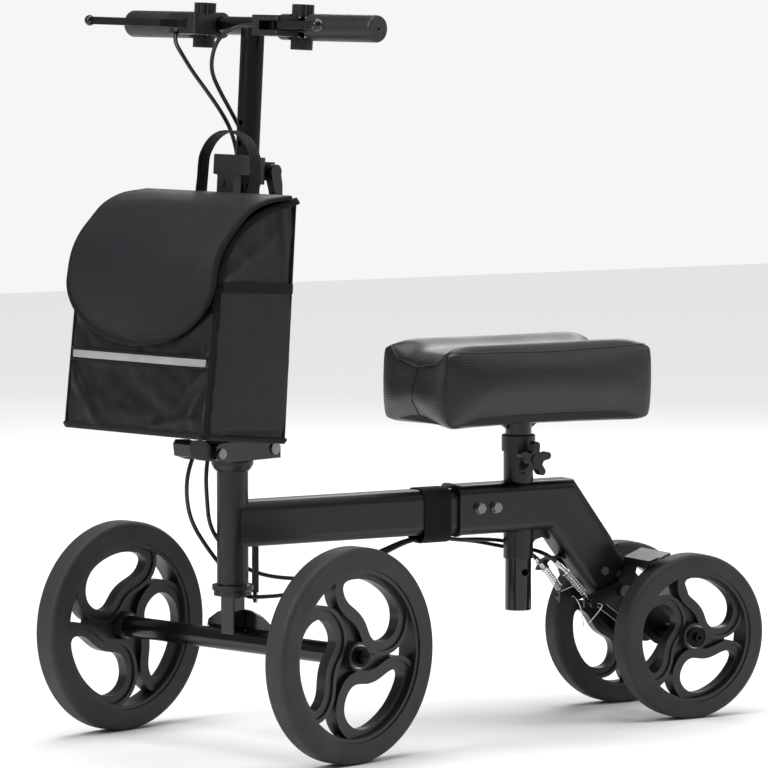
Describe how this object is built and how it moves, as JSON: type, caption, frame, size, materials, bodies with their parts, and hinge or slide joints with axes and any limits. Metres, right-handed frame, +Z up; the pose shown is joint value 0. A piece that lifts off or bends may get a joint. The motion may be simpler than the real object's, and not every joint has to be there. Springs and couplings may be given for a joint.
{
  "type": "knee scooter",
  "caption": "Steerable knee scooter with folding handlebar mast, padded knee rest, front bag with hinged lid and hand brakes on the rear wheels.",
  "frame": {"origin": "On the floor, under the middle of the object's bounding box.", "axes": "+Z up from the floor, +X to the rider's left, forward is -Y along the beam; the front assembly stands turned about 16 degrees to the rider's left."},
  "size_m": [0.47, 0.882, 0.8802],
  "materials": {
    "frame_paint": "satin powder coat",
    "gloss_paint": "gloss powder coat",
    "cup_paint": "satin black",
    "lever_paint": "satin black",
    "black_bolts": "black oxide",
    "zinc": "bright zinc plate",
    "bearing_steel": "ground steel",
    "spring_steel": "bright spring steel",
    "plate_metal": "plain zinc plate",
    "trim_plastic": "moulded black nylon",
    "wheel_plastic": "satin moulded black nylon",
    "tyre": "smooth solid tyre",
    "grip_rubber": "soft black rubber",
    "cable_jacket": "black sleeve",
    "bag_fabric": "coated dark grey nylon",
    "pocket_mesh": "black open mesh",
    "webbing": "ribbed webbing",
    "strap_fabric": "hook-and-loop tape",
    "pad_vinyl": "embossed black vinyl",
    "board": "black painted plywood"
  },
  "bodies": {
    "frame": {"main_beam": "frame_paint", "rear_frame": "frame_paint", "axle_plates": "frame_paint", "seat_socket": "frame_paint", "socket_collar": "trim_plastic", "frame_bolts": "black_bolts", "cable_strap": "strap_fabric", "head_cups": "cup_paint", "head_bearings": "bearing_steel", "rear_axle": "black_bolts", "brake_plate": "plate_metal", "cable_adjusters": "zinc", "frame_cables": "cable_jacket", "brake_springs": "spring_steel"},
    "fork": {"fork_post": "gloss_paint", "front_axle_tube": "gloss_paint", "axle_gusset": "gloss_paint", "gusset_bolts": "zinc", "front_axle": "zinc", "hinge_base": "gloss_paint", "hinge_pins": "zinc", "fork_cables": "cable_jacket"},
    "fold_latch": {"fold_latch": "trim_plastic"},
    "mast": {"hinge_top": "gloss_paint", "tiller_tube": "gloss_paint", "height_clamp": "trim_plastic", "bag_bracket": "trim_plastic", "bag_shell": "bag_fabric", "mesh_pockets": "pocket_mesh", "bag_handle": "webbing", "mast_cables": "cable_jacket"},
    "clamp_lever": {"clamp_lever": "trim_plastic"},
    "bag_lid": {"bag_lid": "bag_fabric"},
    "stem": {"stem_tube": "gloss_paint", "handlebar": "gloss_paint", "grips": "grip_rubber", "lever_housings": "trim_plastic", "bar_cables": "cable_jacket"},
    "left_bar_knob": {"left_bar_knob": "trim_plastic"},
    "right_bar_knob": {"right_bar_knob": "trim_plastic"},
    "left_brake_lever": {"left_brake_lever": "lever_paint"},
    "right_brake_lever": {"right_brake_lever": "lever_paint"},
    "left_brake_arm": {"left_brake_arm": "frame_paint"},
    "right_brake_arm": {"right_brake_arm": "frame_paint"},
    "seat": {"seat_post": "gloss_paint", "pad_board": "board", "knee_pad": "pad_vinyl"},
    "star_knob": {"star_knob": "trim_plastic"},
    "front_left_wheel": {"front_left_rim": "wheel_plastic", "front_left_tyre": "tyre", "front_left_bearings": "bearing_steel"},
    "front_right_wheel": {"front_right_rim": "wheel_plastic", "front_right_tyre": "tyre", "front_right_bearings": "bearing_steel"},
    "rear_left_wheel": {"rear_left_rim": "wheel_plastic", "rear_left_tyre": "tyre", "rear_left_bearings": "bearing_steel"},
    "rear_right_wheel": {"rear_right_rim": "wheel_plastic", "rear_right_tyre": "tyre", "rear_right_bearings": "bearing_steel"}
  },
  "joints": [
    {"name": "steering", "type": "hinge", "parent": "frame", "child": "fork", "pos_m": [0, -0.2546, 0.262], "axis": [0, 0, 1], "range_deg": [-55.8, 24.2], "deforming": ["frame_cables", "fork_cables"]},
    {"name": "mast_fold", "type": "hinge", "parent": "fork", "child": "mast", "pos_m": [-0.01364, -0.2065, 0.353], "axis": [0.9621, 0.2728, 0], "range_deg": [-55, 0], "deforming": ["fork_cables", "mast_cables", "frame_cables"]},
    {"name": "latch_turn", "type": "hinge", "parent": "fork", "child": "fold_latch", "pos_m": [0.01037, -0.29116, 0.353], "axis": [0.9621, 0.2728, 0], "range_deg": [0, 35], "stiffness_Nm_per_rad": 0.3, "springref_deg": -20.05},
    {"name": "clamp_lever_turn", "type": "hinge", "parent": "mast", "child": "clamp_lever", "pos_m": [-0.01463, -0.203, 0.68141], "axis": [0.9621, 0.2728, 0], "range_deg": [0, 110]},
    {"name": "bag_lid_turn", "type": "hinge", "parent": "mast", "child": "bag_lid", "pos_m": [0.00631, -0.27686, 0.65631], "axis": [-0.9621, -0.2728, 0], "range_deg": [0, 75]},
    {"name": "stem_height", "type": "slide", "parent": "mast", "child": "stem", "axis": [-0.0176, 0.0621, 0.9979], "range_m": [-0.06, 0.1], "deforming": ["bar_cables", "mast_cables"]},
    {"name": "left_knob_turn", "type": "hinge", "parent": "stem", "child": "left_bar_knob", "pos_m": [0.06916, -0.19792, 0.85293], "axis": [-0.0176, 0.0621, 0.9979], "range_deg": [0, 360]},
    {"name": "right_knob_turn", "type": "hinge", "parent": "stem", "child": "right_bar_knob", "pos_m": [-0.08862, -0.24265, 0.85293], "axis": [-0.0176, 0.0621, 0.9979], "range_deg": [0, 360]},
    {"name": "left_lever_pull", "type": "hinge", "parent": "stem", "child": "left_brake_lever", "pos_m": [0.07319, -0.23411, 0.85525], "axis": [-0.0176, 0.0621, 0.9979], "range_deg": [0, 20], "stiffness_Nm_per_rad": 1, "springref_deg": -8.59},
    {"name": "right_lever_pull", "type": "hinge", "parent": "stem", "child": "right_brake_lever", "pos_m": [-0.07305, -0.27558, 0.85525], "axis": [0.0176, -0.0621, -0.9979], "range_deg": [0, 20], "stiffness_Nm_per_rad": 1, "springref_deg": -8.59},
    {"name": "left_brake_turn", "type": "hinge", "parent": "frame", "child": "left_brake_arm", "pos_m": [0.03, 0.2754, 0.156], "axis": [-1, 0, 0], "range_deg": [0, 5], "deforming": ["brake_springs"]},
    {"name": "right_brake_turn", "type": "hinge", "parent": "frame", "child": "right_brake_arm", "pos_m": [-0.03, 0.2754, 0.156], "axis": [-1, 0, 0], "range_deg": [0, 5], "deforming": ["brake_springs"]},
    {"name": "seat_height", "type": "slide", "parent": "frame", "child": "seat", "axis": [0, 0, 1], "range_m": [0, 0.14]},
    {"name": "star_knob_turn", "type": "hinge", "parent": "frame", "child": "star_knob", "pos_m": [0.036, 0.1424, 0.325], "axis": [1, 0, 0], "range_deg": [0, 360]},
    {"name": "front_left_spin", "type": "hinge", "parent": "fork", "child": "front_left_wheel", "pos_m": [0.18664, -0.20168, 0.127], "axis": [0.9621, 0.2728, 0], "continuous": true},
    {"name": "front_right_spin", "type": "hinge", "parent": "fork", "child": "front_right_wheel", "pos_m": [-0.18664, -0.30752, 0.127], "axis": [0.9621, 0.2728, 0], "continuous": true},
    {"name": "rear_left_spin", "type": "hinge", "parent": "frame", "child": "rear_left_wheel", "pos_m": [0.0795, 0.3394, 0.1016], "axis": [1, 0, 0], "continuous": true},
    {"name": "rear_right_spin", "type": "hinge", "parent": "frame", "child": "rear_right_wheel", "pos_m": [-0.0795, 0.3394, 0.1016], "axis": [1, 0, 0], "continuous": true}
  ],
  "couplings": [
    {"joint": "left_brake_turn", "follows": "left_lever_pull", "ratio": 0.25},
    {"joint": "right_brake_turn", "follows": "right_lever_pull", "ratio": 0.25}
  ]
}
